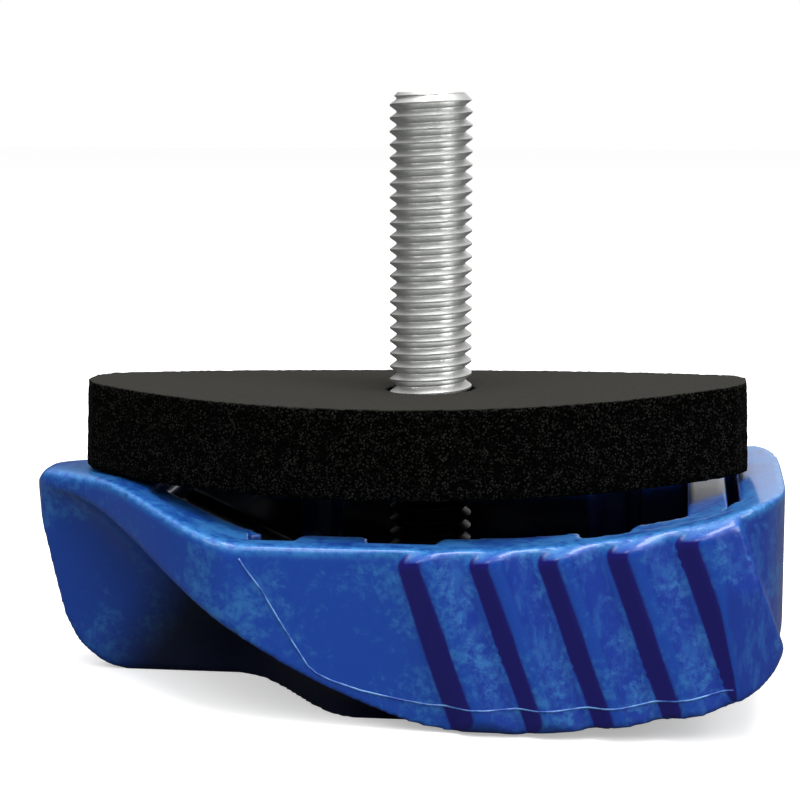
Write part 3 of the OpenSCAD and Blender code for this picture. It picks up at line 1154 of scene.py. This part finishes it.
class OBJECT_OT_clamp_flash(bpy.types.Operator):
    """Lay the thin parting line on both walls of the moulding"""

    bl_idname = "object.clamp_flash"
    bl_label = "Parting line"

    def execute(self, context):
        grip = bpy.data.objects.get("moulded_grip")
        if grip is None:
            raise RuntimeError("The parting line needs the moulded grip")
        give(build_flash(grip), flash_material(), "grip", "blue_plastic")
        return {"FINISHED"}


class OBJECT_OT_clamp_bolt(bpy.types.Operator):
    """Build the bolt with its helical thread"""

    bl_idname = "object.clamp_stud"
    bl_label = "Threaded stud"

    def execute(self, context):
        give(build_bolt(), zinc_material(), "grip", "zinc_steel", "clamp_bolt")
        return {"FINISHED"}


class OBJECT_OT_clamp_pad(bpy.types.Operator):
    """Build the loose foam pad"""

    bl_idname = "object.clamp_pad"
    bl_label = "Foam pad"

    def execute(self, context):
        pad = give(build_pad(), foam_material(), "pad", "black_foam", "foam_pad")
        return {"FINISHED"}


class OBJECT_OT_clamp_stage(bpy.types.Operator):
    """Build the floor, the lights and the camera"""

    bl_idname = "object.clamp_stage"
    bl_label = "Stage"

    def execute(self, context):
        add_floor()
        add_world()
        add_camera()
        add_light("top_softbox", 2.3, 0.3, (0.04, -0.08, 0.5), (0, 0, 0.02))
        add_light("back_softbox", 0.22, 0.3, (0.12, 0.6, 0.16), (0, 0, 0.02))
        add_light("tip_softbox", 0.4, 0.2, (-0.3, -0.3, 0.3), (-0.03, 0, 0.01))
        add_light("right_softbox", 1.4, 0.3, (0.42, -0.22, 0.3), (0, 0, 0.02))
        add_light("front_softbox", 0.9, 0.35, (0.02, -0.42, 0.4), (0, 0, 0.02))
        context.scene.view_settings.view_transform = "Standard"
        return {"FINISHED"}


class VIEW3D_PT_clamp_foot(bpy.types.Panel):
    """Lists the operators that build the clamp foot"""

    bl_idname = "VIEW3D_PT_clamp_foot"
    bl_label = "Clamp foot"
    bl_space_type = "VIEW_3D"
    bl_region_type = "UI"
    bl_category = "Clamp foot"

    def draw(self, context):
        column = self.layout.column(align=True)
        for operator in OPERATORS:
            column.operator(operator.bl_idname)


OPERATORS = (OBJECT_OT_clamp_grip, OBJECT_OT_clamp_flash, OBJECT_OT_clamp_bolt,
             OBJECT_OT_clamp_pad, OBJECT_OT_clamp_stage)
CLASSES = (GripSizes, BoltSizes, PadSizes, Finishes, *OPERATORS, VIEW3D_PT_clamp_foot)


def register():
    for cls in CLASSES:
        bpy.utils.register_class(cls)
    bpy.types.Scene.clamp_grip = bpy.props.PointerProperty(type=GripSizes)
    bpy.types.Scene.clamp_bolt = bpy.props.PointerProperty(type=BoltSizes)
    bpy.types.Scene.clamp_pad = bpy.props.PointerProperty(type=PadSizes)
    bpy.types.Scene.clamp_finishes = bpy.props.PointerProperty(type=Finishes)


def unregister():
    del bpy.types.Scene.clamp_finishes
    del bpy.types.Scene.clamp_pad
    del bpy.types.Scene.clamp_bolt
    del bpy.types.Scene.clamp_grip
    for cls in reversed(CLASSES):
        bpy.utils.unregister_class(cls)


def main():
    register()
    bpy.ops.object.clamp_grip()
    bpy.ops.object.clamp_flash()
    bpy.ops.object.clamp_stud()
    bpy.ops.object.clamp_pad()
    bpy.ops.object.clamp_stage()


if __name__ == "__main__":
    main()
